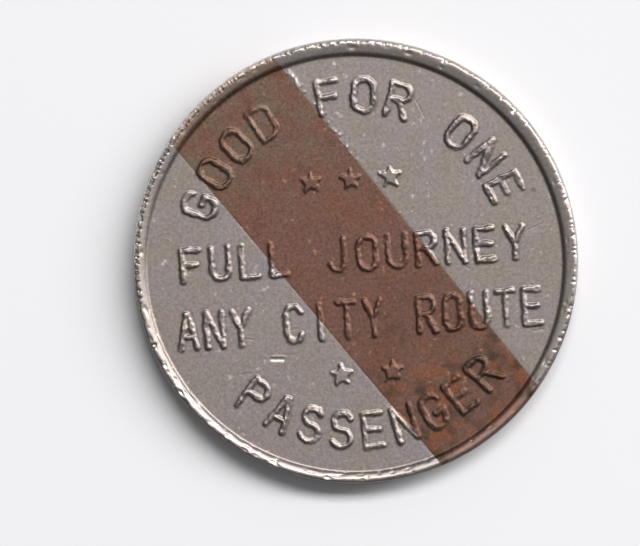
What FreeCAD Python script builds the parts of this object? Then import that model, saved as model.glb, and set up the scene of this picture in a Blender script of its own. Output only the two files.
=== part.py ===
"""Bimetal fare token: a bronze bar bonded edge to edge between two white-metal segments.

The three strips are bonded first, the blank is punched across them, its edge is rolled up into
a rim, and both faces are struck. So one struck outline runs over all three pieces, and the two
bond planes cut straight through field, rim, edge and relief.

Frame: millimetres, +Z up out of the obverse, origin at the centre of the face it lies on,
+X along the reading direction of the obverse.
"""
import FreeCAD
import Part
import math
import os

Vector = FreeCAD.Vector

# Blank and rim
token_diameter = 16.5      # over the side wall
rim_height = 1.25          # crest to crest, the thickness that a slot gauge feels
edge_radius = 0.18         # rounding between each crest and the side wall
crest_width = 0.28         # flat land on top of the rim
rim_wall_run = 0.11        # how far the sloped inner wall of the rim reaches in
field_depth = 0.13         # crest down to the field, the same on both faces

# Bonded bar
bar_width = 4.79           # between the two bond planes, at the middle of the token
bar_angle = -54.75         # its centre line, in degrees from the reading direction
bar_taper = 1.3            # degrees between the bond planes, which close towards the lower right
bar_offset = -0.045        # centre line from the centre of the token, along the bar's normal

# Relief, common to both faces
relief_clearance = 0.03    # top of the relief below the crest, so that the crest takes the wear
relief_draft = 0.05        # how far a relief wall leans in from its foot to its top
relief_root = 0.05         # how deep a relief solid is set into the field before it is fused

# Obverse stars
star_radius = 0.46         # centre to point, at the foot
star_waist_share = 0.45    # inner corners over points, which sets how sharp the points are
star_points = 5
upper_star_count = 3
upper_star_pitch = 1.48
upper_star_height = 3.03   # row above the centre
upper_star_shift = 0.02    # middle of the row from the centre, along the reading direction
lower_star_count = 2
lower_star_pitch = 1.89
lower_star_drop = 4.18     # row below the centre
lower_star_shift = 0.12

# Reverse numeral, ring and stars
numeral_height = 5.2
numeral_stem_width = 1.15
numeral_base_width = 3.0
numeral_base_height = 0.75
numeral_flag_reach = 1.05  # flag tip left of the stem
numeral_flag_drop = 1.25   # flag tip below the top
numeral_flag_width = 0.85  # height of the flag where it leaves the stem
ring_radius = 5.35         # middle of the raised ring
ring_width = 0.34
reverse_star_radius = 0.62
reverse_star_reach = 3.45  # star centre from the middle of the token, left and right

# Worked out from the above
token_radius = token_diameter / 2
crest_outer_radius = token_radius - edge_radius
crest_inner_radius = crest_outer_radius - crest_width
field_radius = crest_inner_radius - rim_wall_run
obverse_field_level = rim_height - field_depth
reverse_field_level = field_depth
relief_height = field_depth - relief_clearance


def arc_edge(centre_radius, centre_level, from_degrees, to_degrees):
    """Quarter round of the rim's edge, in the half plane that is turned into the blank."""
    def point_at(degrees):
        angle = math.radians(degrees)
        return Vector(centre_radius + edge_radius * math.cos(angle), 0,
                      centre_level + edge_radius * math.sin(angle))
    middle = (from_degrees + to_degrees) / 2
    return Part.Arc(point_at(from_degrees), point_at(middle), point_at(to_degrees)).toShape()


def line_edge(start, end):
    """Straight edge between two (radius, level) pairs."""
    return Part.LineSegment(Vector(start[0], 0, start[1]), Vector(end[0], 0, end[1])).toShape()


def rimmed_blank():
    """The whole token before its relief: field, sloped rim wall, crest, rounded edge, side wall."""
    upper_centre = rim_height - edge_radius
    outline = [
        line_edge((0, reverse_field_level), (field_radius, reverse_field_level)),
        line_edge((field_radius, reverse_field_level), (crest_inner_radius, 0)),
        line_edge((crest_inner_radius, 0), (crest_outer_radius, 0)),
        arc_edge(crest_outer_radius, edge_radius, -90, 0),
        line_edge((token_radius, edge_radius), (token_radius, upper_centre)),
        arc_edge(crest_outer_radius, upper_centre, 0, 90),
        line_edge((crest_outer_radius, rim_height), (crest_inner_radius, rim_height)),
        line_edge((crest_inner_radius, rim_height), (field_radius, obverse_field_level)),
        line_edge((field_radius, obverse_field_level), (0, obverse_field_level)),
        line_edge((0, obverse_field_level), (0, reverse_field_level)),
    ]
    section = Part.Face(Part.Wire(outline))
    return section.revolve(Vector(0, 0, 0), Vector(0, 0, 1), 360)


def closed_wire(points, level):
    """Polygon at one level from a list of (x, y) corners."""
    corners = [Vector(x, y, level) for x, y in points]
    return Part.makePolygon(corners + corners[:1])


def drafted_relief(foot_points, top_points, upwards):
    """Relief solid with leaning walls, on the obverse if upwards, or else on the reverse."""
    side = 1 if upwards else -1
    field = obverse_field_level if upwards else reverse_field_level
    root = Part.Face(closed_wire(foot_points, field)).extrude(Vector(0, 0, -side * relief_root))
    body = Part.makeLoft([closed_wire(foot_points, field),
                          closed_wire(top_points, field + side * relief_height)], True, True)
    return root.fuse(body).removeSplitter()


def star_outline(centre_x, centre_y, radius):
    """Corners of an upright star, point and waist by turns."""
    corners = []
    for step in range(2 * star_points):
        reach = radius if step % 2 == 0 else radius * star_waist_share
        angle = math.pi / 2 + step * math.pi / star_points
        corners.append((centre_x + reach * math.cos(angle), centre_y + reach * math.sin(angle)))
    return corners


def star(centre_x, centre_y, radius, upwards):
    """One star: its foot is the full size, and its top is smaller by the draft."""
    return drafted_relief(star_outline(centre_x, centre_y, radius),
                          star_outline(centre_x, centre_y, radius - relief_draft), upwards)


def star_row(count, pitch, shift, row_y):
    """Evenly spaced obverse stars, their middle shifted from the centre of the token."""
    first = shift - (count - 1) * pitch / 2
    return [star(first + index * pitch, row_y, star_radius, True) for index in range(count)]


def numeral_outline(inset):
    """Corners of a figure one, seen from the reverse, with every side drawn in by the inset."""
    half_stem = numeral_stem_width / 2 - inset
    half_base = numeral_base_width / 2 - inset
    top = numeral_height / 2 - inset
    foot = -numeral_height / 2 + inset
    base_top = -numeral_height / 2 + numeral_base_height - inset
    flag_tip_x = -numeral_stem_width / 2 - numeral_flag_reach + inset
    flag_tip_y = numeral_height / 2 - numeral_flag_drop
    flag_foot_y = numeral_height / 2 - numeral_flag_width
    return [
        (half_stem, top),
        (half_stem, base_top),
        (half_base, base_top),
        (half_base, foot),
        (-half_base, foot),
        (-half_base, base_top),
        (-half_stem, base_top),
        (-half_stem, flag_foot_y + inset),
        (flag_tip_x, flag_tip_y - numeral_flag_width / 2 + inset),
        (flag_tip_x, flag_tip_y + numeral_flag_width / 2 - inset),
        (-half_stem, top),
    ]


def mirrored(points):
    """Reverse artwork reads right when the token is turned over about its upright axis."""
    return [(-x, y) for x, y in points]


def reverse_numeral():
    return drafted_relief(mirrored(numeral_outline(0)), mirrored(numeral_outline(relief_draft)),
                          False)


def reverse_ring():
    """Low ring with leaning walls around the reverse's middle."""
    inner = ring_radius - ring_width / 2
    outer = ring_radius + ring_width / 2
    top = reverse_field_level - relief_height
    root = reverse_field_level + relief_root
    corners = [(inner, root), (outer, root), (outer, reverse_field_level),
               (outer - relief_draft, top), (inner + relief_draft, top),
               (inner, reverse_field_level)]
    loop = [Vector(radius, 0, level) for radius, level in corners]
    section = Part.Face(Part.makePolygon(loop + loop[:1]))
    return section.revolve(Vector(0, 0, 0), Vector(0, 0, 1), 360)


def struck_token():
    """Blank and all of its relief as one outline, before it is parted along the bond planes."""
    relief = star_row(upper_star_count, upper_star_pitch, upper_star_shift, upper_star_height)
    relief += star_row(lower_star_count, lower_star_pitch, lower_star_shift, -lower_star_drop)
    relief += [reverse_numeral(), reverse_ring()]
    for side in (-1, 1):
        relief.append(star(side * reverse_star_reach, 0, reverse_star_radius, False))
    return rimmed_blank().fuse(relief)


def beyond_bond_plane(side):
    """Block of everything past one bond plane: side 1 is the bar's upper right, -1 its lower left."""
    reach = token_diameter
    near = bar_offset * side + bar_width / 2
    block = Part.makeBox(2 * reach, reach, 2 * reach, Vector(-reach, 0, -reach))
    if side < 0:
        block.rotate(Vector(0, 0, 0), Vector(0, 0, 1), 180)
    block.translate(Vector(0, side * near, 0))
    block.rotate(Vector(0, 0, 0), Vector(0, 0, 1), bar_angle - side * bar_taper / 2)
    return block


def parted_token():
    """The three bonded pieces, each cut from the struck outline along its own bond planes."""
    whole = struck_token()
    lower_left = beyond_bond_plane(-1)
    upper_right = beyond_bond_plane(1)
    return {
        "left_white_metal_segment": whole.common(lower_left),
        "bronze_bar": whole.cut([lower_left, upper_right]),
        "right_white_metal_segment": whole.common(upper_right),
    }


def main():
    os.makedirs("parts", exist_ok=True)
    for name, piece in parted_token().items():
        piece.exportStep("parts/" + name + ".step")
        print(name, "solids", len(piece.Solids), "valid", piece.isValid(),
              "volume mm3", round(piece.Volume, 3))


main()
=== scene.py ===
# %% [markdown]
# # A worn bimetal fare token
#
# The token is a small struck disc. A bronze bar is bonded between two white-metal segments, and
# then one blow of two dies raises the rim, the stars and the legend over all three pieces at once.
# This lesson follows the same order: make a blank, give both faces the height of the die, wear
# it, and only then part it along the two bond planes. That way the relief runs over a bond
# without a step, as it does on the real thing.

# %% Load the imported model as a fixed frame
import bmesh
import bpy
import math
import numpy as np
from mathutils import Matrix, Vector


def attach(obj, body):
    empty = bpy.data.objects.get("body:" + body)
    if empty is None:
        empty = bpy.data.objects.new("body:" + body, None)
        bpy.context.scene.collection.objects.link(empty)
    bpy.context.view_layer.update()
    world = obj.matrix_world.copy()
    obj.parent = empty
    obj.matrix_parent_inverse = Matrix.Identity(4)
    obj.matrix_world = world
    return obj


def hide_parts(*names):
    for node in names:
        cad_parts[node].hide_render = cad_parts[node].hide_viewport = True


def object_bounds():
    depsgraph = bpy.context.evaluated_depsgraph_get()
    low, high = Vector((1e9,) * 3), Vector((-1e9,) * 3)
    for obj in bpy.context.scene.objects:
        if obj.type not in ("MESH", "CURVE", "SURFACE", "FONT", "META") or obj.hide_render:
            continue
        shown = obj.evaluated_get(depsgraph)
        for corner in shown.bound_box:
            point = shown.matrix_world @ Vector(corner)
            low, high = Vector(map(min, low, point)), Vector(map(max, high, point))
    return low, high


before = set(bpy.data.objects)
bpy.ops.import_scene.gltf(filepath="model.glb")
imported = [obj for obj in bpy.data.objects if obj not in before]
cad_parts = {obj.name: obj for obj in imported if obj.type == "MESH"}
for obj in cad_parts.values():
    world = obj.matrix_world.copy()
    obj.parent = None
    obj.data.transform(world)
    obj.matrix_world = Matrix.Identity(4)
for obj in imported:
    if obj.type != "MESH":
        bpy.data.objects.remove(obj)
cad_low, cad_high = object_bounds()
print("CAD box, mm:", [round(1000 * (b - a), 3) for a, b in zip(cad_low, cad_high)])

# %% [markdown]
# ## Sizes
#
# Small metalwork is easier to think about in millimetres, so every shape below is built in them
# and scaled to metres once, at the end. The diameter and the height come from the frame. The rim
# is not quite the flat land of the drawing: years in tubes and pockets have worn its crest, so
# that it leans inwards a little and rounds off into the edge. That lean is what catches the lamp
# on one side of the token and loses it on the other. The dies also struck a tenth of a millimetre
# off centre, as they often do on tokens, so the rim is wider on one side than on the other.

# %% Name the sizes of the blank and its rim
METRES = 0.001
TOKEN_RADIUS = 1000 * (cad_high[0] - cad_low[0]) / 2
TOKEN_HEIGHT = 1000 * (cad_high[2] - cad_low[2])
FIELD_DEPTH = 0.13
EDGE_RADIUS = 0.17        # rounding from the crest to the side wall
CREST_CURVE = 1.3         # 1 is a crest that leans evenly; more curves it
CREST_RUN = 0.24          # shoulder to the top of the crest
SHOULDER_DROP = 0.045     # shoulder below the top of the crest
WALL_RUN = 0.15           # foot of the rim's inner wall to its shoulder
WALL_END = 0.88           # share of a full wave after which the wall meets the crest
FIELD_RADIUS = TOKEN_RADIUS - EDGE_RADIUS - CREST_RUN - WALL_RUN
DIE_SHIFT = Vector((-0.05, -0.105, 0))   # how far off the blank's centre the dies struck
CLEAR_OF_DIE = 0.12       # the outermost part of the edge, which the dies did not move
SHIFT_RUN = CREST_RUN + EDGE_RADIUS - CLEAR_OF_DIE
RIM_RING_STEPS = 1600     # 0.03 mm apart
RIM_SECTORS = 16
FRONT_CELLS = RIM_RING_STEPS // 4
BACK_CELLS = FRONT_CELLS // 2
print("token radius and height, mm:", round(TOKEN_RADIUS, 3), round(TOKEN_HEIGHT, 3))

# %% [markdown]
# ## Where the bonds run
#
# The bar's two bond faces are the only large upright flat faces of its CAD solid. Adding up face
# area by direction finds them, so the seams always lie where the solids have them.

# %% Measure the bond planes on the bar's solid
def bond_planes(node_name):
    """Two (point, outward normal) pairs in millimetres."""
    area_by_direction = {}
    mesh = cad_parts[node_name].data
    for face in mesh.polygons:
        normal = face.normal
        if abs(normal.z) < 0.01:
            key = (round(normal.x, 2), round(normal.y, 2))
            total, _, _ = area_by_direction.get(key, (0.0, None, None))
            area_by_direction[key] = (total + face.area, face.center.copy(), normal.copy())
    largest = sorted(area_by_direction.values(), key=lambda entry: -entry[0])[:2]
    return [(1000 * centre, normal.normalized()) for _, centre, normal in largest]


BONDS = sorted(bond_planes("bronze_bar"), key=lambda plane: plane[1].x)
for centre, normal in BONDS:
    print("bond plane: %.3f mm out, facing %.2f degrees" % (
        centre.dot(normal), math.degrees(math.atan2(normal.y, normal.x))))

# %% [markdown]
# ## The blank
#
# A disc of even little squares is the best ground for relief. A polar disc crowds its faces at
# the centre, so this one is a square grid that is pressed into a circle: each square ring of the
# grid becomes a round ring. Its outermost ring has four times as many corners as the grid has
# cells along a side, and the spun rim takes the same number of steps, so the two meet corner to
# corner. The back carries bolder forms and gets half as many cells.

# %% Press a square grid into a disc
def add_face_disc(bm, cells, level):
    """Grid of cells by cells, pressed into a disc of the field's radius at a level."""
    made = bmesh.ops.create_grid(bm, x_segments=cells, y_segments=cells, size=1.0)
    for vert in made["verts"]:
        u, v = vert.co.x, vert.co.y
        if abs(u) >= abs(v):
            reach, turn = u, (math.pi / 4 * v / u if u else 0.0)
        else:
            reach, turn = v, math.pi / 2 - math.pi / 4 * u / v
        vert.co = (FIELD_RADIUS * reach * math.cos(turn),
                   FIELD_RADIUS * reach * math.sin(turn), level)


# %% Draw half of the rim's outline and spin it
def rim_outline():
    """(radius, level) from the foot of the inner wall over the crest to half way down the edge."""
    field = TOKEN_HEIGHT - FIELD_DEPTH
    shoulder = TOKEN_HEIGHT - SHOULDER_DROP
    points = []
    for step in range(6):
        part = WALL_END * step / 5
        rise = part * part * (3 - 2 * part) / (WALL_END * WALL_END * (3 - 2 * WALL_END))
        points.append((FIELD_RADIUS + WALL_RUN * step / 5, field + (shoulder - field) * rise))
    for step in range(1, 8):
        part = step / 7
        lean = 1 - (1 - part) ** CREST_CURVE
        points.append((FIELD_RADIUS + WALL_RUN + CREST_RUN * part, shoulder + SHOULDER_DROP * lean))
    crest_end = TOKEN_RADIUS - EDGE_RADIUS
    for step in range(9):
        turn = math.pi / 2 * (1 - step / 8)
        points.append((crest_end + EDGE_RADIUS * math.cos(turn),
                       TOKEN_HEIGHT - EDGE_RADIUS + EDGE_RADIUS * math.sin(turn)))
    for step in range(1, 4):
        drop = (TOKEN_HEIGHT / 2 - EDGE_RADIUS) * step / 3
        points.append((TOKEN_RADIUS, TOKEN_HEIGHT - EDGE_RADIUS - drop))
    return points


def spin_rim(bm, outline, steps):
    """Spin an outline round the axis. Each step of a spin walks over the whole mesh, so one
    sector is spun by itself, and turned copies of it make the full turn."""
    turn = 2 * math.pi / RIM_SECTORS
    sector = bmesh.new()
    verts = [sector.verts.new((radius, 0, level)) for radius, level in outline]
    edges = [sector.edges.new(pair) for pair in zip(verts[:-1], verts[1:])]
    bmesh.ops.spin(sector, geom=verts + edges, cent=(0, 0, 0), axis=(0, 0, 1), dvec=(0, 0, 0),
                   angle=turn, steps=steps // RIM_SECTORS, use_merge=False, use_duplicate=False)
    sector_mesh = bpy.data.meshes.new("rim_sector")
    sector.to_mesh(sector_mesh)
    sector.free()
    for index in range(RIM_SECTORS):
        already = len(bm.verts)
        bm.from_mesh(sector_mesh)
        bm.verts.ensure_lookup_table()
        bmesh.ops.rotate(bm, verts=bm.verts[already:], cent=(0, 0, 0),
                         matrix=Matrix.Rotation(index * turn, 3, "Z"))
    bpy.data.meshes.remove(sector_mesh)


# %% [markdown]
# ## An uneven edge
#
# A blank starts with fairly square corners, and wear rounds them, though seldom evenly. Here the
# rounding is squared up again towards one bearing. Each of its points is moved by a power of its
# share of the way: a power below one pushes it towards the square corner and leaves both ends of
# the rounding where they are.

# %% Make the edge squarer on its least worn side
LEAST_WORN = 4.0          # the bearing of that side, in radians
SQUARENESS = 0.5          # 0 keeps the rounding; 1 would be a square corner


def square_edge(co):
    """Push a corner of the rounding out towards a square corner."""
    round_start, upright = TOKEN_RADIUS - EDGE_RADIUS, TOKEN_HEIGHT / 2 - EDGE_RADIUS
    level = co.z - TOKEN_HEIGHT / 2
    out, up = (co.xy.length - round_start) / EDGE_RADIUS, (abs(level) - upright) / EDGE_RADIUS
    if out > 0 and up > 0:
        power = 1 - SQUARENESS * max(0, math.cos(math.atan2(co.y, co.x) - LEAST_WORN))
        reach = (round_start + EDGE_RADIUS * out ** power) / co.xy.length
        co.x, co.y = co.x * reach, co.y * reach
        co.z = TOKEN_HEIGHT / 2 + math.copysign(upright + EDGE_RADIUS * up ** power, level)


# %% Join the two faces and the rim into one closed blank
SAME_CORNER = 0.002       # corners closer than this become one


def make_blank():
    bm = bmesh.new()
    front = rim_outline()
    back = [(radius, TOKEN_HEIGHT - level) for radius, level in front]
    spin_rim(bm, back, RIM_RING_STEPS // 2)
    middle = [edge for edge in bm.edges
              if all(abs(vert.co.z - TOKEN_HEIGHT / 2) < 1e-5 for vert in edge.verts)]
    bmesh.ops.subdivide_edges(bm, edges=middle, cuts=1)
    spin_rim(bm, front, RIM_RING_STEPS)
    add_face_disc(bm, FRONT_CELLS, TOKEN_HEIGHT - FIELD_DEPTH)
    add_face_disc(bm, BACK_CELLS, FIELD_DEPTH)
    bmesh.ops.remove_doubles(bm, verts=bm.verts, dist=SAME_CORNER)
    bmesh.ops.recalc_face_normals(bm, faces=bm.faces)
    for vert in bm.verts:
        square_edge(vert.co)
        under_die = (TOKEN_RADIUS - CLEAR_OF_DIE - vert.co.xy.length) / SHIFT_RUN
        vert.co += DIE_SHIFT * min(max(under_die, 0), 1)
    return bm


blank = make_blank()
open_edges = sum(not edge.is_manifold for edge in blank.edges)
print("blank:", len(blank.faces), "faces,", open_edges, "open edges,",
      round(blank.calc_volume(), 2), "mm3")

# %% Cut both bond lines into the blank before it is struck
# With corners exactly on the bonds, the pieces can later be parted without cutting the relief.
ON_THE_BOND = 0.003       # a corner closer than this needs no new one beside it
for centre, normal in BONDS:
    bmesh.ops.bisect_plane(blank, geom=blank.verts[:] + blank.edges[:] + blank.faces[:],
                           dist=ON_THE_BOND, plane_co=centre, plane_no=normal)
struck = bpy.data.meshes.new("struck_token")
blank.to_mesh(struck)
blank.free()
print("blank with bond lines:", len(struck.vertices), "corners")

# %% [markdown]
# ## An engraver's alphabet
#
# The letters of such a token are cut with one round-nosed tool, so each stroke is a ridge of one
# width with a rounded top. That makes it natural to draw letters as centre lines, with straight
# runs and arcs, in a box one unit wide and one high, and to let the ridge come from the
# distance to that line. The legend here is plain fare wording.

# %% Draw the letters as centre lines
BOWL = 0.27               # height of a round letter's end, as a share of the letter


def arc(cx, cy, rx, ry, start, end):
    """Points along part of an ellipse, in degrees, about 15 degrees apart."""
    count = max(2, round(abs(end - start) / 15))
    turns = np.radians(np.linspace(start, end, count + 1))
    return [(cx + rx * math.cos(turn), cy + ry * math.sin(turn)) for turn in turns]


ROUND_TOP = arc(0.5, 1 - BOWL, 0.5, BOWL, 0, 180)
P_BOWL = [(0, 0), (0, 1), (0.55, 1)] + arc(0.55, 0.76, 0.45, 0.24, 90, -90) + [(0, 0.52)]
LETTERS = {
    "A": [[(0, 0), (0.42, 1), (0.58, 1), (1, 0)], [(0.16, 0.33), (0.84, 0.33)]],
    "C": [arc(0.5, 1 - BOWL, 0.5, BOWL, 20, 180) + arc(0.5, BOWL, 0.5, BOWL, 180, 340)],
    "D": [[(0, 0), (0, 1), (0.4, 1)] + arc(0.4, 1 - BOWL, 0.6, BOWL, 90, 0)
          + arc(0.4, BOWL, 0.6, BOWL, 0, -90) + [(0, 0)]],
    "E": [[(0.95, 1), (0, 1), (0, 0), (0.95, 0)], [(0, 0.52), (0.8, 0.52)]],
    "F": [[(0, 0), (0, 1), (0.95, 1)], [(0, 0.52), (0.8, 0.52)]],
    "G": [arc(0.5, 1 - BOWL, 0.5, BOWL, 20, 180) + arc(0.5, BOWL, 0.5, BOWL, 180, 360)
          + [(1, 0.45), (0.58, 0.45)]],
    "I": [[(0.5, 0), (0.5, 1)]],
    "J": [[(0.85, 1)] + arc(0.43, BOWL, 0.42, BOWL, 0, -165)],
    "L": [[(0.05, 1), (0.05, 0), (0.95, 0)]],
    "N": [[(0, 0), (0, 1), (1, 0), (1, 1)]],
    "O": [ROUND_TOP + arc(0.5, BOWL, 0.5, BOWL, 180, 360) + ROUND_TOP[:1]],
    "P": [P_BOWL],
    "R": [P_BOWL, [(0.5, 0.52), (1, 0)]],
    "S": [arc(0.5, 0.75, 0.46, 0.25, 25, 270) + arc(0.5, 0.25, 0.5, 0.25, 90, -155)],
    "T": [[(0, 1), (1, 1)], [(0.5, 1), (0.5, 0)]],
    "U": [[(0, 1)] + arc(0.5, BOWL, 0.5, BOWL, 180, 360) + [(1, 1)]],
    "Y": [[(0, 1), (0.5, 0.48), (1, 1)], [(0.5, 0.48), (0.5, 0)]],
}

# %% [markdown]
# ## Setting the legend
#
# Two lines run straight and two follow the rim. The upper arc has its letter tops outwards, and
# the lower arc has its feet outwards, so that both read from left to right.

# %% Place every letter on the token
STROKE_WIDTH = 0.29


def set_letter(letter, width, height, origin, turn):
    """A letter's centre lines in token millimetres; origin is the middle of its foot."""
    across, up = width - STROKE_WIDTH, height - STROKE_WIDTH
    paths = []
    for path in LETTERS[letter]:
        points = []
        for x, y in path:
            px = (x - 0.5) * across
            py = STROKE_WIDTH / 2 + y * up
            points.append((origin[0] + px * math.cos(turn) - py * math.sin(turn),
                           origin[1] + px * math.sin(turn) + py * math.cos(turn)))
        paths.append(points)
    return paths


def straight_line(text, middle_x, foot_y, pitch, width, height):
    """Letters in a row, their feet at one height."""
    placed = []
    for index, letter in enumerate(text):
        if letter != " ":
            x = middle_x + (index - (len(text) - 1) / 2) * pitch
            placed.append(set_letter(letter, width, height, (x, foot_y), 0.0))
    return placed


def arched_line(text, middle, foot_radius, pitch, width, height):
    """Letters along a circle, in degrees; a positive pitch reads along the bottom."""
    placed = []
    for index, letter in enumerate(text):
        if letter != " ":
            turn = math.radians(middle + (index - (len(text) - 1) / 2) * pitch)
            origin = (foot_radius * math.cos(turn), foot_radius * math.sin(turn))
            upright = turn - math.pi / 2 if pitch < 0 else turn + math.pi / 2
            placed.append(set_letter(letter, width, height, origin, upright))
    return placed


legend = arched_line("GOOD FOR ONE", middle=89.2, foot_radius=5.41, pitch=-12.2,
                     width=1.02, height=1.48)
legend += straight_line("FULL JOURNEY", middle_x=-0.10, foot_y=-0.46, pitch=1.095,
                        width=0.93, height=1.45)
legend += straight_line("ANY CITY ROUTE", middle_x=0.0, foot_y=-2.94, pitch=0.985,
                        width=0.87, height=1.56)
legend += arched_line("PASSENGER", middle=271.8, foot_radius=7.06, pitch=10.7,
                      width=0.98, height=1.52)
print("letters in the legend:", len(legend))

# %% [markdown]
# ## The height of the die
#
# Striking is a height for every point of the face. A stroke is highest on its centre line and
# falls to the field in a smooth wave, which gives it a rounded top and a fillet at its foot. A
# star or a numeral is a flat-topped shape whose wall leans out. The same distances also say where
# dirt collects, at the foot of a wall, with painted shade added at the letters' feet, and where
# metal is rubbed bright, on the tops.

# %% Distances to lines and outlines
def distance_to_path(x, y, path):
    """Distance of many points to a chain of straight runs."""
    nearest = np.full(x.shape, 1e9)
    for (ax, ay), (bx, by) in zip(path[:-1], path[1:]):
        dx, dy = bx - ax, by - ay
        length_squared = max(dx * dx + dy * dy, 1e-12)
        along = np.clip(((x - ax) * dx + (y - ay) * dy) / length_squared, 0, 1)
        nearest = np.minimum(nearest, np.hypot(x - ax - along * dx, y - ay - along * dy))
    return nearest


def depth_inside(x, y, outline):
    """Distance to a closed outline, positive inside it and negative outside."""
    closed = outline + outline[:1]
    inside = np.zeros(x.shape, bool)
    for (ax, ay), (bx, by) in zip(closed[:-1], closed[1:]):
        if ay != by:
            crosses = (ay > y) != (by > y)
            inside ^= crosses & (x < ax + (y - ay) * (bx - ax) / (by - ay))
    return np.where(inside, 1, -1) * distance_to_path(x, y, closed)


def wave(value, low, high):
    """Smooth step from 0 at low to 1 at high."""
    part = np.clip((value - low) / (high - low), 0, 1)
    return part * part * (3 - 2 * part)


# %% [markdown]
# ## Wear is uneven
#
# Random patches of a known size drive nearly everything that is uneven about an old token: how
# deep the die bit, where the field sags, where a rim is nicked. Random values on a coarse grid,
# blended smoothly, give such patches, and a fixed seed gives the same token every time.

# %% Smooth random patches
def patches(x, y, size, seed):
    """Smooth random values from -1 to 1, in patches of about a size in millimetres."""
    table = np.random.default_rng(seed).uniform(-1, 1, (64, 64))
    gx, gy = x / size + 17.3, y / size + 31.7
    ix, iy = np.floor(gx).astype(int), np.floor(gy).astype(int)
    fx, fy = wave(gx - ix, 0, 1), wave(gy - iy, 0, 1)
    low = table[ix % 64, iy % 64] * (1 - fx) + table[(ix + 1) % 64, iy % 64] * fx
    high = table[ix % 64, (iy + 1) % 64] * (1 - fx) + table[(ix + 1) % 64, (iy + 1) % 64] * fx
    return low * (1 - fy) + high * fy


# %% Raise the legend
RIDGE_HEIGHT = 0.05
RIDGE_FLAT = 0.042        # half of the flat top
RIDGE_RAGGED = 0.03       # wander of its edges
RIDGE_FOOT = 0.13         # centre line to the end of the foot's fillet
RIDGE_WEAR = 0.016        # unevenness of the worn tops
SHALLOWEST = 0.82         # the least deeply struck letter, as a share of the ridge's height
# dirt at a stroke's foot, deepened with painted shade
LETTER_FOOT_DIRT_AND_SHADE = 0.6
FOOT_DARK_LINE_WIDTH = 0.045   # of the dark line of dirt and painted shade along a stroke's foot


def raise_legend(x, y):
    """Height of the legend, and its dirt with painted shade at the strokes' feet, at many points of
    the front.
    """
    rng = np.random.default_rng(7)
    height, dirt_and_shade = np.zeros(x.shape), np.zeros(x.shape)
    for letter in legend:
        corners = np.array([point for path in letter for point in path])
        low, high = corners.min(0) - 0.4, corners.max(0) + 0.4
        near = np.nonzero((x > low[0]) & (x < high[0]) & (y > low[1]) & (y < high[1]))[0]
        px, py = x[near], y[near]
        away = np.min([distance_to_path(px, py, path) for path in letter], axis=0)
        away += RIDGE_RAGGED * (patches(px, py, 0.3, 6) + 0.8 * patches(px, py, 0.13, 8))
        bite = rng.uniform(SHALLOWEST, 1.0) - 0.5 * np.clip(patches(px, py, 0.6, 3), 0, 1)
        ridge = 1 - wave(away, RIDGE_FLAT, RIDGE_FOOT)
        worn = RIDGE_WEAR * (0.6 * patches(px, py, 0.2, 4) + 0.7 * patches(px, py, 0.11, 5))
        height[near] = np.maximum(height[near], (RIDGE_HEIGHT * bite + worn) * ridge)
        # A dark line along each stroke's foot: dirt, deepened with painted shade.
        foot = np.exp(-((away - RIDGE_FOOT) / FOOT_DARK_LINE_WIDTH) ** 2)
        dirt_and_shade[near] = np.maximum(dirt_and_shade[near], LETTER_FOOT_DIRT_AND_SHADE * foot)
    return height, dirt_and_shade


# %% Raise the stars, the numeral and the ring
STAR_RADIUS = 0.38
STAR_WAIST = 0.5
STAR_BLUNT = 0.06         # rounding of the points, which stand this far outside the outline
FRONT_STARS = [(0.02 + step * 1.48, 3.03) for step in (-1, 0, 1)]
FRONT_STARS += [(0.12 + step * 1.89, -4.18) for step in (-0.5, 0.5)]
BACK_STARS = [(-3.45, 0.0), (3.45, 0.0)]
STAR_HEIGHT, STAR_WALL, STAR_WEAR = 0.04, 0.08, 0.045
BACK_STAR_RADIUS = 0.62
BACK_HEIGHT, BACK_WALL, BACK_WEAR = 0.1, 0.12, 0.015
WALL_SPREAD = 0.02        # a wall's foot lies this far outside its outline


def star_outline(cx, cy, radius):
    """Ten corners, point and waist by turns."""
    corners = []
    for step in range(10):
        reach = radius if step % 2 == 0 else radius * STAR_WAIST
        turn = math.pi / 2 + step * math.pi / 5
        corners.append((cx + reach * math.cos(turn), cy + reach * math.sin(turn)))
    return corners


def raise_depth(depth, top, wall):
    """Height and dirt of a flat-topped shape from the distance inside its outline."""
    return top * wave(depth, -WALL_SPREAD, wall), np.exp(-((depth + 0.03) / 0.05) ** 2)


def raise_shapes(x, y, outlines, top, wall, wear, blunt=0.0):
    """The highest of several shapes at each point, unevenly worn and with blunt corners."""
    worn = wear * (patches(x, y, 0.2, 9) + 0.7 * patches(x, y, 0.11, 10))
    depth = np.max([depth_inside(x, y, outline) for outline in outlines], axis=0)
    return raise_depth(depth + worn + blunt, top, wall)


# The back is seen mirrored from above, so its numeral is drawn mirrored.
NUMERAL_HEIGHT, STEM_WIDTH, BASE_WIDTH, BASE_HEIGHT = 5.2, 1.15, 3.0, 0.75
FLAG_REACH, FLAG_DROP, FLAG_WIDTH = 1.05, 1.25, 0.85
RING_RADIUS, RING_WIDTH = 5.35, 0.34
half_stem, top, foot = STEM_WIDTH / 2, NUMERAL_HEIGHT / 2, -NUMERAL_HEIGHT / 2
numeral = [
    (-half_stem, top), (-half_stem, foot + BASE_HEIGHT), (-BASE_WIDTH / 2, foot + BASE_HEIGHT),
    (-BASE_WIDTH / 2, foot), (BASE_WIDTH / 2, foot), (BASE_WIDTH / 2, foot + BASE_HEIGHT),
    (half_stem, foot + BASE_HEIGHT), (half_stem, top - FLAG_WIDTH),
    (half_stem + FLAG_REACH, top - FLAG_DROP - FLAG_WIDTH / 2),
    (half_stem + FLAG_REACH, top - FLAG_DROP + FLAG_WIDTH / 2), (half_stem, top),
]


def raise_ring(x, y):
    depth = RING_WIDTH / 2 - np.abs(np.hypot(x, y) - RING_RADIUS)
    return raise_depth(depth, BACK_HEIGHT, BACK_WALL)
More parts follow.
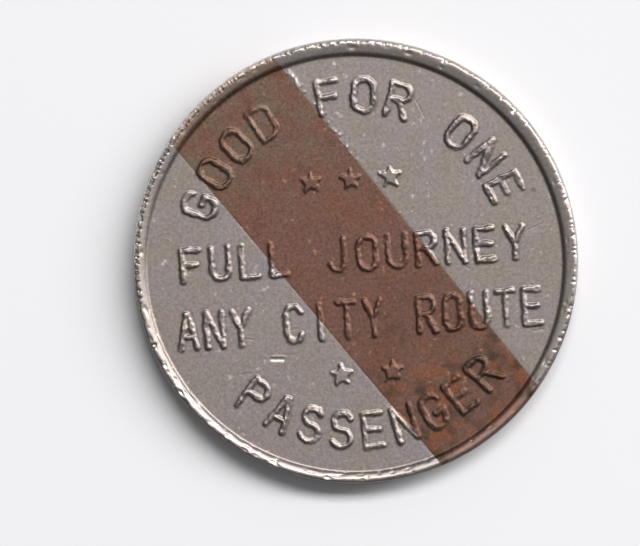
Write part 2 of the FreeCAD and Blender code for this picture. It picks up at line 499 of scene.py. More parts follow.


# %% [markdown]
# ## Strike it
#
# Each corner of the blank moves by the height of the die above it. Only its level changes, so
# the corners on the bond planes stay on them. The amounts of dirt and painted shade, and of polish
# and painted highlight, are kept as attributes of the mesh, for the materials to read.

# %% Pick out the corners of each face
STAR_DIRT = 0.35          # dirt at a star's foot, as a share of the numeral's on the back
count = len(struck.vertices)
flat = np.empty(count * 3)
struck.vertices.foreach_get("co", flat)
place = flat.reshape(-1, 3)
x, y, z = place[:, 0].copy(), place[:, 1].copy(), place[:, 2].copy()
radius = np.hypot(x, y)
die_radius = np.hypot(x - DIE_SHIFT.x, y - DIE_SHIFT.y)
on_front = (z > TOKEN_HEIGHT / 2) & (die_radius < FIELD_RADIUS + 0.01)
on_back = (z < TOKEN_HEIGHT / 2) & (die_radius < FIELD_RADIUS + 0.01)
dirt_and_shade = np.zeros(count)


def calm_at_rim(r):
    """Fades a change of the field out before the rim's foot, where two meshes meet."""
    return 1 - wave(r, FIELD_RADIUS - 0.12, FIELD_RADIUS)


print("corners on the front", int(on_front.sum()), "and on the back", int(on_back.sum()))

# %% Strike the front
fx, fy, fr = x[on_front], y[on_front], die_radius[on_front]
legend_height, legend_dirt_and_shade = raise_legend(fx, fy)
star_height, star_dirt = raise_shapes(
    fx, fy, [star_outline(cx, cy, STAR_RADIUS) for cx, cy in FRONT_STARS],
    STAR_HEIGHT, STAR_WALL, STAR_WEAR, STAR_BLUNT)
front_height = np.maximum(legend_height, star_height)
z[on_front] += front_height * calm_at_rim(fr)
dirt_and_shade[on_front] = np.maximum(legend_dirt_and_shade, STAR_DIRT * star_dirt)
print("front relief, mm:", round(front_height.max(), 3))

# %% Strike the back
bx, by, br = x[on_back], y[on_back], die_radius[on_back]
back_shapes = [numeral] + [star_outline(cx, cy, BACK_STAR_RADIUS) for cx, cy in BACK_STARS]
shape_height, shape_dirt = raise_shapes(bx, by, back_shapes, BACK_HEIGHT, BACK_WALL, BACK_WEAR)
ring_height, ring_dirt = raise_ring(bx, by)
back_height = np.maximum(shape_height, ring_height)
z[on_back] -= back_height * calm_at_rim(br)
dirt_and_shade[on_back] = np.maximum(shape_dirt, ring_dirt)
print("back relief, mm:", round(back_height.max(), 3))

# %% Let the fields sag and the bonds sink
SAG = 0.0016
BOND_GROOVE_DEPTH = 0.003
BOND_GROOVE_HALF = 0.035
BOND_DIRT = 0.3
sag = SAG * (patches(x, y, 1.9, 11) + 0.5 * patches(x, y, 0.8, 12) + 0.22 * patches(x, y, 0.3, 13))
side = np.where(z > TOKEN_HEIGHT / 2, 1.0, -1.0)
facing = np.where(radius < TOKEN_RADIUS - EDGE_RADIUS, side, 0.0)
z += facing * sag
seam_dirt = np.zeros(count)
for centre, normal in BONDS:
    away = np.abs((x - centre.x) * normal.x + (y - centre.y) * normal.y)
    groove = np.exp(-(away / BOND_GROOVE_HALF) ** 2) * (0.65 + 0.35 * patches(x, y, 0.5, 21))
    z -= facing * BOND_GROOVE_DEPTH * groove
    seam_dirt = np.maximum(seam_dirt, groove)
dirt_and_shade = np.maximum(dirt_and_shade, BOND_DIRT * seam_dirt)
print("field sags by up to, mm:", round(float(np.abs(sag).max()), 4))

# %% [markdown]
# ## A burr beside one seam
#
# Where the blow squeezed two metals against each other, a ragged line of specks was left standing
# beside part of the upper seam. They stand proud of the field, so they're rubbed bright first.

# %% Leave a burr along the upper seam
BURR_HEIGHT = 0.014
BURR_OUT, BURR_SPREAD = 0.09, 0.13   # from the seam, and to either side of that line
BURR_FADES = (-3.4, -2.2)            # along the bar, from the token's middle
high_point, high_normal = BONDS[1]
down_bar = x * high_normal.y - y * high_normal.x
beside = (x - high_point.x) * high_normal.x + (y - high_point.y) * high_normal.y
burr = np.clip(1.3 * patches(x, y, 0.12, 61) + 0.4 * patches(x, y, 0.4, 62), 0, 1)
burr *= np.exp(-((beside - BURR_OUT) / BURR_SPREAD) ** 2) * (1 - wave(down_bar, *BURR_FADES))
burr = np.where(on_front, burr * calm_at_rim(die_radius), 0)
z += BURR_HEIGHT * burr
polish_and_highlight = burr.copy()
print("corners raised by the burr:", int((burr > 0.1).sum()))

# %% [markdown]
# ## Stains
#
# Bronze holds dirt better than white metal does. Towards the bar's lower end the letters stand
# in dark outlines, and the brown breaks up into dark blotches of about half a millimetre, with
# orange oxide between them. The upper end has gone olive instead, which the tarnish attribute
# carries. One small pit near the rim has filled with black.

# %% Stain the bar and fill a pit
BAR_DIRT_AND_SHADE = 0.7            # dirt and painted shade on the bar's upper end, as a share of the white metal's
LOW_END_DARKENING = 0.9        # how much more it gets towards its lower end
LOW_END_LETTERS = 0.85    # and how dark their tops get there
BLOTCH_DIRT = 0.85
BAR_GRIME = 0.14          # even grime on the lower half of the bar
PIT = (6.76, 2.14, 0.09)  # place and radius
low_point, low_normal = BONDS[0]
in_bar = ((x - low_point.x) * low_normal.x + (y - low_point.y) * low_normal.y < 0)
in_bar &= beside < 0
blotches = np.clip(patches(x, y, 0.55, 31) + 0.7 * patches(x, y, 0.22, 32), 0, 1)
stain = BLOTCH_DIRT * blotches * (0.25 + 0.75 * wave(down_bar, 2.0, 6.5))
stain += BAR_GRIME * wave(down_bar, 0.0, 2.5)
low_end = np.where(in_bar, wave(down_bar, 2.0, 5.5), 0)
bar_dirt_and_shade = np.maximum((BAR_DIRT_AND_SHADE + LOW_END_DARKENING * low_end) * dirt_and_shade, stain)
dirt_and_shade = np.where(in_bar, np.clip(bar_dirt_and_shade, 0, 1), dirt_and_shade)
dark_tops = np.zeros(count)
dark_tops[on_front] = LOW_END_LETTERS * np.clip(legend_height / RIDGE_HEIGHT, 0, 1)
dark_tops *= low_end
oxide = np.clip(patches(x, y, 0.5, 51) + 0.8 * patches(x, y, 0.2, 52) - 0.25, 0, 0.5)
oxide = np.where(in_bar, oxide * wave(down_bar, 2.5, 5.5), 0)
tarnish = np.where(in_bar, 0.5 - 0.9 * wave(down_bar, -7.0, -2.0), 0.2)
dirt_and_shade = np.maximum(dirt_and_shade, on_front * np.exp(-((np.hypot(x - PIT[0], y - PIT[1]) / PIT[2]) ** 2)))
print("the bar's stained share:", round(float((stain[in_bar] > 0.3).mean()), 3))

# %% [markdown]
# ## Knocks and scratches
#
# Nicks sit where tokens strike each other, on the crest and the outer edge, and short scratches
# cross the field. A nick pushes metal down and inwards in a small soft pit. Close rows of narrow
# notches also break up the edge, deep ones at the upper left and shallow ones along the right. A
# scratch is a groove with a raised lip on one side, because the metal that is ploughed up has to
# go somewhere.

# %% Knock the rim
NICKS = 210               # on the crest and both corners of the edge
LOWER_LEFT_SHARE = 0.55   # of the nicks gather at the lower left
LEFT_NOTCHES = 220        # narrow and deep, along the upper left of the edge
RIGHT_NOTCHES = 170       # shallower, along the right of it
NICK_REACH = 0.25         # how far a nick reaches up or down the side wall
rng = np.random.default_rng(23)
on_rim = die_radius > FIELD_RADIUS + 0.05
turn_here = np.arctan2(y, x)
for number in range(NICKS + LEFT_NOTCHES + RIGHT_NOTCHES):
    lower_left = rng.random() < LOWER_LEFT_SHARE
    turn = rng.normal(-2.3, 0.55) if lower_left else rng.uniform(-math.pi, math.pi)
    at_radius = rng.uniform(FIELD_RADIUS + WALL_RUN, TOKEN_RADIUS)
    at_level = TOKEN_HEIGHT if rng.random() < 0.6 else 0.0
    length, breadth = rng.uniform(0.04, 0.16), rng.uniform(0.03, 0.07)
    depth = rng.uniform(0.008, 0.028)
    if number >= NICKS:
        turn, at_level = rng.normal(2.5, 0.42), TOKEN_HEIGHT
        at_radius = rng.uniform(TOKEN_RADIUS - 0.8 * EDGE_RADIUS, TOKEN_RADIUS)
        length, breadth = rng.uniform(0.03, 0.05), rng.uniform(0.05, 0.1)
        depth = rng.uniform(0.02, 0.045)
    if number >= NICKS + LEFT_NOTCHES:
        turn = rng.uniform(-0.6, 1.9)
        depth *= 0.5
    around = (turn_here - turn + math.pi) % (2 * math.pi) - math.pi
    reach = (around * TOKEN_RADIUS / length) ** 2 + ((radius - at_radius) / breadth) ** 2
    reach += ((z - at_level) / NICK_REACH) ** 2
    pit = np.where(on_rim, depth * np.exp(-reach), 0)
    z -= np.where(z > TOKEN_HEIGHT / 2, 1, -1) * pit
    x -= np.cos(turn_here) * pit * 0.5
    y -= np.sin(turn_here) * pit * 0.5
    # Nicks and notches are lightened as bare metal, partly a painted highlight standing for glints
    # on the edge.
    polish_and_highlight += pit / depth * 0.6
print("nicks and notches:", number + 1)

# %% Scratch the field
SMALL_SCRATCHES = 46
SCRATCH_BARE_AND_HIGHLIGHT = 0.007      # a groove this deep shows bare metal, lightened into a painted highlight


def scratch(start, length, heading, depth, breadth):
    """Plough a groove into the front's field, with a lip on its upper side."""
    dx, dy = math.cos(heading), math.sin(heading)
    along = (x - start[0]) * dx + (y - start[1]) * dy
    across = -(x - start[0]) * dy + (y - start[1]) * dx
    fade = wave(along, 0, 0.15 * length) * (1 - wave(along, 0.8 * length, length))
    fade = np.where(on_front, fade, 0)
    groove = np.exp(-(across / breadth) ** 2)
    lip = np.exp(-((across - 1.7 * breadth) / breadth) ** 2)
    return depth * fade * (0.5 * lip - groove)


change = scratch((-3.45, -3.42), 0.62, -0.073, 0.015, 0.055)
change += scratch((-3.17, -3.26), 0.7, -0.073, 0.0035, 0.03)
for _ in range(SMALL_SCRATCHES):
    reach, bearing = FIELD_RADIUS * math.sqrt(rng.random()), rng.uniform(0, 2 * math.pi)
    change += scratch((reach * math.cos(bearing), reach * math.sin(bearing)),
                      rng.uniform(0.15, 0.9), rng.normal(0.1, 0.8), rng.uniform(0.001, 0.004),
                      rng.uniform(0.025, 0.04))
# Scratch grooves are lightened: bare metal, with a painted highlight along them.
polish_and_highlight += np.clip(-change / SCRATCH_BARE_AND_HIGHLIGHT, 0, 1)
z = np.clip(z + change, 0, TOKEN_HEIGHT)
print("deepest scratch, mm:", round(float(-change.min()), 3))

# %% [markdown]
# ## What is rubbed, what is grimy, and where highlight and shade are painted
#
# Handling rubs the high places and leaves dirt in the low ones. The letters' tops get a little
# polish, the crest of the rim gets more, and along the upper half of the token the corners of the
# edge are rubbed down to bare metal and lightened further as a painted highlight, most of all
# towards the upper left, with a duller wall between them. The lower half of the edge is darkened
# with painted shade. The foot of the rim, where a thumb doesn't reach, keeps a little dirt, with
# painted shade added on its upper side, and a thin broken dark line lies along the outer side of
# the crest.

# %% Work out where it is rubbed and where highlight is painted
# Polish lightens the metal; on the edge it is also a painted highlight.
LETTER_POLISH, CREST_POLISH, EDGE_POLISH_AND_HIGHLIGHT = 0.1, 0.5, 1.0
RUBBED_AND_LIT_TOWARDS = 1.4      # the bearing of the middle of the edge's rubbed half, which faces the lamp, in radians
BARE_AND_HIGHLIGHT_TOWARDS = 2.2        # and of the part that is rubbed quite bare and lightened most, as a painted highlight
WALL_POLISH_AND_HIGHLIGHT = 0.4         # the side wall's polish and painted highlight, as a share of its corners'
high = np.where(on_front, wave(z, TOKEN_HEIGHT - 0.09, TOKEN_HEIGHT - 0.03), 0)
high = np.maximum(high, np.where(on_back, 1 - wave(z, 0.03, 0.09), 0))
crest = wave(die_radius, FIELD_RADIUS + WALL_RUN - 0.03, FIELD_RADIUS + WALL_RUN + 0.06)
edge = wave(radius, TOKEN_RADIUS - EDGE_RADIUS - 0.03, TOKEN_RADIUS - EDGE_RADIUS + 0.06)
# The edge is lightened most on its upper half and towards the upper left: rubbing, with painted
# highlight.
rubbed_and_lit_side = wave(np.cos(turn_here - RUBBED_AND_LIT_TOWARDS), -0.5, 0.2)
bare_and_highlight_side = wave(np.cos(turn_here - BARE_AND_HIGHLIGHT_TOWARDS), 0.45, 0.85)
outermost = wave(radius, TOKEN_RADIUS - 0.13, TOKEN_RADIUS - 0.05)
edge *= 0.15 + 0.05 * rubbed_and_lit_side + 0.8 * np.maximum(bare_and_highlight_side, rubbed_and_lit_side * outermost)
drop = TOKEN_HEIGHT - z
edge *= 1 - 0.4 * np.clip(patches(x + drop, y - drop, 0.3, 41), 0, 1)
from_middle = np.abs(z - TOKEN_HEIGHT / 2)
wall_end = TOKEN_HEIGHT / 2 - EDGE_RADIUS
corner = wave(from_middle, wall_end - 0.1, wall_end + 0.05)
edge *= WALL_POLISH_AND_HIGHLIGHT + (1 - WALL_POLISH_AND_HIGHLIGHT) * corner
for amount, place_share in ((LETTER_POLISH, high), (CREST_POLISH, crest), (EDGE_POLISH_AND_HIGHLIGHT, edge)):
    polish_and_highlight = np.clip(np.maximum(polish_and_highlight, amount * place_share), 0, 1)
print("share of corners rubbed bare:", round(float((polish_and_highlight > 0.6).mean()), 3))

# %% Work out where it is grimy and where shade is painted
EDGE_SHADE = 0.8          # painted shade on the lower half of the edge, which faces away from the lamp
CREASE_DARK_LINE = 0.8         # a broken dark line where the crest meets the edge's rounding, on the upper half
CREASE_WIDTH = 0.035
FOOT_DIRT_AND_SHADE = 0.12         # dirt and painted shade at the foot of the rim, all round
FOOT_SHADE_AWAY_FROM_LAMP = 0.3     # and painted shade added on the upper side, where the rim's inner wall faces away from the lamp
# Painted shade darkens the outermost ring of the edge's lower half.
edge_darkening = EDGE_SHADE * (1 - rubbed_and_lit_side)
edge_darkening *= wave(radius, TOKEN_RADIUS - 0.07, TOKEN_RADIUS - 0.02)
# A broken dark line along the outer end of the crest, on the upper half.
crease = np.exp(-((radius - TOKEN_RADIUS + EDGE_RADIUS) / CREASE_WIDTH) ** 2)
crease *= CREASE_DARK_LINE * rubbed_and_lit_side * (1 - 0.6 * np.clip(patches(x, y, 0.25, 43), 0, 1))
edge_darkening = np.maximum(edge_darkening, crease)
# Painted shade at the rim's foot where its inner wall faces away from the lamp, over a little dirt
# all round.
wall_away_from_lamp = wave(np.cos(turn_here - RUBBED_AND_LIT_TOWARDS), 0.25, 0.8)
rim_foot_dirt_and_shade = np.exp(-((die_radius - FIELD_RADIUS - 0.02) / 0.07) ** 2)
rim_foot_dirt_and_shade *= FOOT_DIRT_AND_SHADE + FOOT_SHADE_AWAY_FROM_LAMP * wall_away_from_lamp
dirt_and_shade = np.maximum(dirt_and_shade, rim_foot_dirt_and_shade) * (1 - high * (1 - 0.6 * low_end))
dirt_and_shade = np.clip(np.maximum(np.maximum(dirt_and_shade, dark_tops), edge_darkening), 0, 1)
print("share of corners with dirt:", round(float((dirt_and_shade > 0.3).mean()), 3))

# %% Move the corners and store what the materials read
place[:, 0], place[:, 1], place[:, 2] = x, y, z
struck.vertices.foreach_set("co", (place * METRES).ravel())
# The darkening attribute carries dirt and painted shade; the lightening one carries polish and
# painted highlight.
for name, values in (("dirt_and_shade", dirt_and_shade), ("polish_and_highlight", polish_and_highlight), ("oxide", oxide), ("tarnish", tarnish)):
    layer = struck.attributes.new(name, "FLOAT", "POINT")
    layer.data.foreach_set("value", values.astype(np.float32))
struck.update()
print("struck token, mm: lowest", round(z.min(), 3), "highest", round(z.max(), 3))

# %% [markdown]
# ## Part the token along its bonds
#
# Each piece is a copy of the struck token, cleared beyond its own bond planes and closed with a
# flat bond face. Nicks have pushed a few corners off those planes, so the planes cut once more,
# and both neighbours get the same line. The edge round the bond face stays sharp, so that the
# smooth shading of the field doesn't run down into the joint.

# %% Cut out the three pieces
def part_piece(name, planes):
    """Copy of the token, cleared beyond each (point, normal) plane and closed there."""
    bm = bmesh.new()
    bm.from_mesh(struck)
    for centre, normal in planes:
        geometry = bm.verts[:] + bm.edges[:] + bm.faces[:]
        bmesh.ops.bisect_plane(bm, geom=geometry, dist=1e-7, plane_co=centre * METRES,
                               plane_no=normal, clear_outer=True)
    for face in bm.faces:
        face.smooth = True
    rim_of_cut = [edge for edge in bm.edges if edge.is_boundary]
    closed = bmesh.ops.edgeloop_fill(bm, edges=rim_of_cut)
    for face in closed["faces"]:
        face.smooth = False
    for edge in rim_of_cut:
        edge.smooth = False
    bmesh.ops.recalc_face_normals(bm, faces=bm.faces)
    mesh = bpy.data.meshes.new(name)
    bm.to_mesh(mesh)
    triangles = sum(len(face.verts) - 2 for face in bm.faces)
    loose = sum(not edge.is_manifold for edge in bm.edges)
    print(name, "triangles", triangles, "open edges", loose)
    bm.free()
    piece = bpy.data.objects.new(name, mesh)
    bpy.context.scene.collection.objects.link(piece)
    return piece


lower_left, upper_right = BONDS
past_lower_left = (lower_left[0], -lower_left[1])
past_upper_right = (upper_right[0], -upper_right[1])
PIECES = {
    "left_white_metal_segment": ("struck_left_segment", [past_lower_left]),
    "bronze_bar": ("struck_bronze_bar", [lower_left, upper_right]),
    "right_white_metal_segment": ("struck_right_segment", [past_upper_right]),
}
pieces = {}
for node_name, (piece_name, planes) in PIECES.items():
    pieces[node_name] = part_piece(piece_name, planes)
bpy.data.meshes.remove(struck)

# %% [markdown]
# ## Materials
#
# Both metals are metals all the way: their colour is the colour of their reflection. What makes
# them look handled is what varies on top, at sizes that a hand lens would show.

# %% A colour helper and a node helper
def linear(hex_colour):
    """sRGB hex to linear RGBA."""
    channels = [int(hex_colour[i:i + 2], 16) / 255 for i in (1, 3, 5)]
    return [c / 12.92 if c <= 0.04045 else ((c + 0.055) / 1.055) ** 2.4 for c in channels] + [1]


def add_node(tree, kind, settings=(), inputs=(), stops=()):
    """Add a node: settings are its properties, inputs are values or sockets, stops are a ramp's."""
    new = tree.nodes.new(kind)
    for name, value in dict(settings).items():
        setattr(new, name, value)
    for name, value in dict(inputs).items():
        if isinstance(value, bpy.types.NodeSocket):
            tree.links.new(value, new.inputs[name])
        else:
            new.inputs[name].default_value = value
    for index, (position, colour) in enumerate(stops):
        if index >= 2:
            new.color_ramp.elements.new(position)
        new.color_ramp.elements[index].position = position
        new.color_ramp.elements[index].color = colour
    return new


def per_mm(size):
    """Noise scale for a grain of a size in millimetres, on Object coordinates in metres."""
    return 1000 / size


GREY = [(0, 0, 0, 1), (1, 1, 1, 1)]
MIX_RGB = {"data_type": "RGBA"}
MULTIPLY = {"operation": "MULTIPLY"}

# %% [markdown]
# ### Worn cupronickel
#
# The white metal is copper with about a quarter of nickel, struck and then handled for years. To
# the eye it is a warm grey satin. Its field has drifted in patches to olive and to a violet grey,
# its grain is a fine mottle, brown dirt deepened with painted shade sits at the foot of each
# letter, and the high places are rubbed lighter and smoother.

# %% Colour the metal before it is rubbed
OXIDE_COLOUR = "#875238"  # the orange that shows between stains, at the bar's lower end alone
BROAD_PATCH = 3.2         # sizes of the patterns, in millimetres
MEDIUM_PATCH = 1.3
FLECK = 0.3
GRAIN = 0.11              # about three times the real grain, which would be too fine to show


def tarnished_colour(tree, where, medium, grain, fresh, tarnish_a, tarnish_b, bare, grain_contrast):
    """Colour that drifts in patches from fresh to either tarnish, with oxide, grain and flecks of
    the bare colour. The medium patches and the grain are noises that other parts share."""
    tarnish_here = add_node(tree, "ShaderNodeAttribute", {"attribute_name": "tarnish"})
    oxide_here = add_node(tree, "ShaderNodeAttribute", {"attribute_name": "oxide"})
    broad = add_node(tree, "ShaderNodeTexNoise", inputs={
        "Vector": where, "Scale": per_mm(BROAD_PATCH), "Detail": 4.0, "Roughness": 0.6})
    broad_ramp = add_node(tree, "ShaderNodeValToRGB", inputs={"Fac": broad.outputs["Fac"]},
                          stops=[(0.4, GREY[0]), (0.62, GREY[1])])
    tarnish_share = add_node(tree, "ShaderNodeMath", {
        "operation": "MULTIPLY_ADD", "use_clamp": True}, {
        0: broad_ramp.outputs["Color"], 1: 0.6, 2: tarnish_here.outputs["Fac"]})
    patch = add_node(tree, "ShaderNodeMix", MIX_RGB, {
        0: tarnish_share.outputs["Value"], 6: linear(fresh), 7: linear(tarnish_a)})
    medium_ramp = add_node(tree, "ShaderNodeValToRGB", inputs={"Fac": medium},
                           stops=[(0.42, GREY[0]), (0.66, GREY[1])])
    mottled = add_node(tree, "ShaderNodeMix", MIX_RGB, {
        0: medium_ramp.outputs["Color"], 6: patch.outputs[2], 7: linear(tarnish_b)})
    oxidised = add_node(tree, "ShaderNodeMix", MIX_RGB, {
        0: oxide_here.outputs["Fac"], 6: mottled.outputs[2], 7: linear(OXIDE_COLOUR)})
    grain_gain = add_node(tree, "ShaderNodeMapRange", inputs={
        "Value": grain, "From Min": 0.3, "From Max": 0.7,
        "To Min": 1 - grain_contrast, "To Max": 1 + grain_contrast})
    grained = add_node(tree, "ShaderNodeVectorMath", MULTIPLY, {
        0: oxidised.outputs[2], 1: grain_gain.outputs["Result"]})
    flecks = add_node(tree, "ShaderNodeTexNoise", inputs={
        "Vector": where, "Scale": per_mm(FLECK), "Detail": 2.0, "Roughness": 0.55})
    fleck_ramp = add_node(tree, "ShaderNodeValToRGB", inputs={"Fac": flecks.outputs["Fac"]},
                          stops=[(0.66, GREY[0]), (0.82, (0.7, 0.7, 0.7, 1))])
    flecked = add_node(tree, "ShaderNodeMix", MIX_RGB, {
        0: fleck_ramp.outputs["Color"], 6: grained.outputs["Vector"], 7: linear(bare)})
    return flecked.outputs[2]


# %% [markdown]
# Handling then works on that colour. Polish and painted highlight lighten it, and where they are
# strong it gives way to the rubbed colour, which is also the painted highlight's colour. Dirt and
# painted shade come last, because they lie on top of everything, and the medium patches break them
# up so that no line of them is even.

# %% Rub the metal, paint its highlight and lay dirt and painted shade on it
def worn_metal(name, fresh, tarnish_a, tarnish_b, bare, rubbed_and_highlight, dirt_and_shade_colour, rough, polish_and_highlight_gain,
               grain_contrast):
    """Struck metal, handled for years. Polish and painted highlight lighten it by a gain until it
    shows the rubbed colour, which is also the painted highlight's, and dirt and painted shade lie
    on top."""
    material = bpy.data.materials.new(name)
    material.use_nodes = True
    tree = material.node_tree
    tree.nodes.clear()
    where = add_node(tree, "ShaderNodeTexCoord").outputs["Object"]
    dirt_and_shade_here = add_node(tree, "ShaderNodeAttribute", {"attribute_name": "dirt_and_shade"}).outputs["Fac"]
    polish_and_highlight_here = add_node(tree, "ShaderNodeAttribute", {"attribute_name": "polish_and_highlight"}).outputs["Fac"]
    medium_noise = add_node(tree, "ShaderNodeTexNoise", inputs={
        "Vector": where, "Scale": per_mm(MEDIUM_PATCH), "Detail": 5.0, "Roughness": 0.65})
    grain_noise = add_node(tree, "ShaderNodeTexNoise", inputs={
        "Vector": where, "Scale": per_mm(GRAIN), "Detail": 3.0, "Roughness": 0.7})
    medium, grain = medium_noise.outputs["Fac"], grain_noise.outputs["Fac"]
    colour = tarnished_colour(tree, where, medium, grain, fresh, tarnish_a, tarnish_b, bare,
                              grain_contrast)
    polish_and_highlight_gained = add_node(tree, "ShaderNodeMapRange", inputs={
        "Value": polish_and_highlight_here, "To Min": 1.0, "To Max": polish_and_highlight_gain})
    polished_and_highlighted = add_node(tree, "ShaderNodeVectorMath", MULTIPLY, {
        0: colour, 1: polish_and_highlight_gained.outputs["Result"]})
    bare_and_highlight_share = add_node(tree, "ShaderNodeMapRange", inputs={
        "Value": polish_and_highlight_here, "From Min": 0.45, "From Max": 0.8, "To Min": 0.0, "To Max": 0.9})
    burnished_and_highlighted = add_node(tree, "ShaderNodeMix", MIX_RGB, {
        0: bare_and_highlight_share.outputs["Result"], 6: polished_and_highlighted.outputs["Vector"], 7: linear(rubbed_and_highlight)})
    dirt_and_shade_broken = add_node(tree, "ShaderNodeMapRange", inputs={
        "Value": medium, "From Min": 0.35, "From Max": 0.6, "To Min": 0.35, "To Max": 0.85})
    dirt_and_shade_amount = add_node(tree, "ShaderNodeMath", MULTIPLY, {
        0: dirt_and_shade_here, 1: dirt_and_shade_broken.outputs["Result"]})
    dirtied_and_shaded = add_node(tree, "ShaderNodeMix", MIX_RGB, {
        0: dirt_and_shade_amount.outputs["Value"], 6: burnished_and_highlighted.outputs[2], 7: linear(dirt_and_shade_colour)})
    roughness = add_node(tree, "ShaderNodeMapRange", inputs={
        "Value": grain, "To Min": rough - 0.08, "To Max": rough + 0.08})
    smoother = add_node(tree, "ShaderNodeMath", {"operation": "MULTIPLY_ADD"}, {
        0: polish_and_highlight_here, 1: -0.02, 2: roughness.outputs["Result"]})
    bump = add_node(tree, "ShaderNodeBump", inputs={
        "Height": grain, "Strength": 0.5, "Distance": 0.004 * METRES})
    shader = add_node(tree, "ShaderNodeBsdfPrincipled", inputs={
        "Base Color": dirtied_and_shaded.outputs[2], "Metallic": 1.0,
        "Roughness": smoother.outputs["Value"], "Normal": bump.outputs["Normal"]})
    add_node(tree, "ShaderNodeOutputMaterial", inputs={"Surface": shader.outputs["BSDF"]})
    print("made", name, "with", len(tree.nodes), "nodes")
    return material


# Its rubbed colour is also the painted highlight along the rubbed edge.
cupronickel = worn_metal(
    "worn cupronickel", fresh="#8F8683", tarnish_a="#8C8379", tarnish_b="#8E8587",
    bare="#D9D3CE", rubbed_and_highlight="#D2CCC7", dirt_and_shade_colour="#3A3229",
    rough=0.42, polish_and_highlight_gain=1.2, grain_contrast=0.18)

# %% [markdown]
# ### Bronze with a brown patina
#
# The bar is bronze. It has browned as old coins do: a pink brown along most of its length, and an
# olive brown towards its upper end. Its grain shows more than the white metal's does.

# %% Make patinated bronze
# The bronze's rubbed colour is nearly white: a painted highlight along its rubbed edge and nicks.
bronze = worn_metal(
    "patinated bronze", fresh="#6D524A", tarnish_a="#6C5E52", tarnish_b="#704F43",
    bare="#B98B72", rubbed_and_highlight="#EBDDD4", dirt_and_shade_colour="#3A332A",
    rough=0.5, polish_and_highlight_gain=1.1, grain_contrast=0.3)

# %% Dress the pieces and tie them to the frame
MATERIAL_OF = {
    "left_white_metal_segment": (cupronickel, "white_metal"),
    "bronze_bar": (bronze, "bronze"),
    "right_white_metal_segment": (cupronickel, "white_metal"),
}
for node_name, piece in pieces.items():
    material, slot_name = MATERIAL_OF[node_name]
    piece.data.materials.append(material)
    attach(piece, "root")
    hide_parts(node_name)
    print(piece.name, "stands for", node_name)

# %% [markdown]
# ## Floor, light and camera
#
# The token lies on white card under a long lamp that shines across it from beyond its upper edge,
# as in a copying machine. A metal shows its surroundings, so the sky matters as much as the lamp:
# it is a middle grey overhead, lighter towards the lamp and dark on the near side, and that dark
# side is what draws the lower flank of every letter.

# %% Lay the floor
FLOOR_GAP = 0.02          # the token rests on the finest of its burrs
floor_mesh = bpy.data.meshes.new("white_card")
bm = bmesh.new()
bmesh.ops.create_grid(bm, x_segments=1, y_segments=1, size=1.5)
bmesh.ops.translate(bm, verts=bm.verts, vec=(0, 0, -FLOOR_GAP * METRES))
bm.to_mesh(floor_mesh)
bm.free()
floor = bpy.data.objects.new("white_card", floor_mesh)
bpy.context.scene.collection.objects.link(floor)
card = bpy.data.materials.new("white card")
card.use_nodes = True
card_shader = card.node_tree.nodes["Principled BSDF"]
card_shader.inputs["Base Color"].default_value = linear("#E5E5E8")
card_shader.inputs["Roughness"].default_value = 0.9
card_shader.inputs["Specular IOR Level"].default_value = 0.2
floor_mesh.materials.append(card)

# %% Hang the lamp and shade the sky
# Along, beyond and above are measured as the camera sees the token, which is turned on the card.
TOKEN_TURN = math.radians(4.2)
LAMP_ALONG = 1.0          # the middle of the lamp is off to the right
LAMP_BEYOND = 0.375
LAMP_ABOVE = 0.78
LAMP_LENGTH = 2.2
LAMP_BREADTH = 0.24
LAMP_WATTS = 21.6
as_seen = Matrix.Rotation(-TOKEN_TURN, 3, "Z")
lamp_data = bpy.data.lights.new("strip_lamp", "AREA")
lamp_data.shape = "RECTANGLE"
lamp_data.size = LAMP_LENGTH
lamp_data.size_y = LAMP_BREADTH
lamp_data.energy = LAMP_WATTS
lamp_data.color = (1.0, 0.99, 0.975)
lamp = bpy.data.objects.new("strip_lamp", lamp_data)
lamp.location = as_seen @ Vector((LAMP_ALONG, LAMP_BEYOND, LAMP_ABOVE))
lamp.rotation_euler = (-math.atan2(LAMP_BEYOND, LAMP_ABOVE), 0, -TOKEN_TURN)
bpy.context.scene.collection.objects.link(lamp)
sky_axis = as_seen @ Vector((0.5, 0.6, 0.62)).normalized()

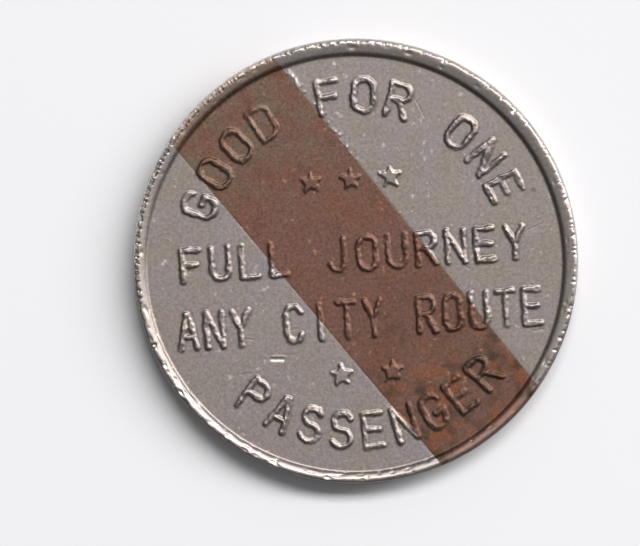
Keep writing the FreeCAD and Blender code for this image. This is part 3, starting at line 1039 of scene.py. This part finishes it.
world = bpy.data.worlds.new("copier sky")
bpy.context.scene.world = world
world.use_nodes = True
sky = world.node_tree
sky.nodes.clear()
sky_way = add_node(sky, "ShaderNodeTexCoord").outputs["Generated"]
towards_lamp = add_node(sky, "ShaderNodeVectorMath", {"operation": "DOT_PRODUCT"}, {
    0: sky_way, 1: sky_axis})
share = add_node(sky, "ShaderNodeMapRange", inputs={
    "Value": towards_lamp.outputs["Value"], "From Min": -1.0, "From Max": 1.0})
sky_ramp = add_node(sky, "ShaderNodeValToRGB", inputs={"Fac": share.outputs["Result"]}, stops=[
    (0.0, (0.018, 0.018, 0.0185, 1)), (0.17, (0.035, 0.035, 0.036, 1)),
    (0.3, (0.09, 0.09, 0.092, 1)), (0.48, (0.155, 0.155, 0.157, 1)),
    (0.62, (0.19, 0.19, 0.192, 1)), (0.85, (0.29, 0.29, 0.29, 1)), (1.0, (0.4, 0.4, 0.4, 1))])
sky_light = add_node(sky, "ShaderNodeBackground", inputs={"Color": sky_ramp.outputs["Color"]})
sky_seen = add_node(sky, "ShaderNodeBackground", inputs={"Color": linear("#E9EAEC")})
seen_first = add_node(sky, "ShaderNodeLightPath").outputs["Is Camera Ray"]
sky_mix = add_node(sky, "ShaderNodeMixShader", inputs={
    0: seen_first, 1: sky_light.outputs["Background"], 2: sky_seen.outputs["Background"]})
add_node(sky, "ShaderNodeOutputWorld", inputs={"Surface": sky_mix.outputs["Shader"]})
bpy.context.scene.view_settings.view_transform = "Standard"

# %% [markdown]
# The camera looks straight down through a long lens, so that the rim looks the same all round.
# The token is turned a little on the card and lies right of the middle, which the camera's own
# turn and place give.

# %% Set the camera
TOKEN_SHARE = 0.695           # of the frame's width, which the token fills
ASIDE, ABOVE = 0.056, 0.019   # the token's centre from the frame's middle, as shares of its width
VIEW_WIDTH = 2 * TOKEN_RADIUS * METRES / TOKEN_SHARE
camera_data = bpy.data.cameras.new("camera")
camera_data.lens = 1000
camera_data.sensor_width = 36
camera_data.clip_start = 0.001
camera = bpy.data.objects.new("camera", camera_data)
camera_height = VIEW_WIDTH * camera_data.lens / camera_data.sensor_width
aside = as_seen @ Vector((-ASIDE, -ABOVE, 0)) * VIEW_WIDTH
camera.location = (aside.x, aside.y, TOKEN_HEIGHT * METRES + camera_height)
camera.rotation_euler = (0, 0, -TOKEN_TURN)
bpy.context.scene.collection.objects.link(camera)
bpy.context.scene.camera = camera
print("camera height, m:", round(camera.location.z, 4))
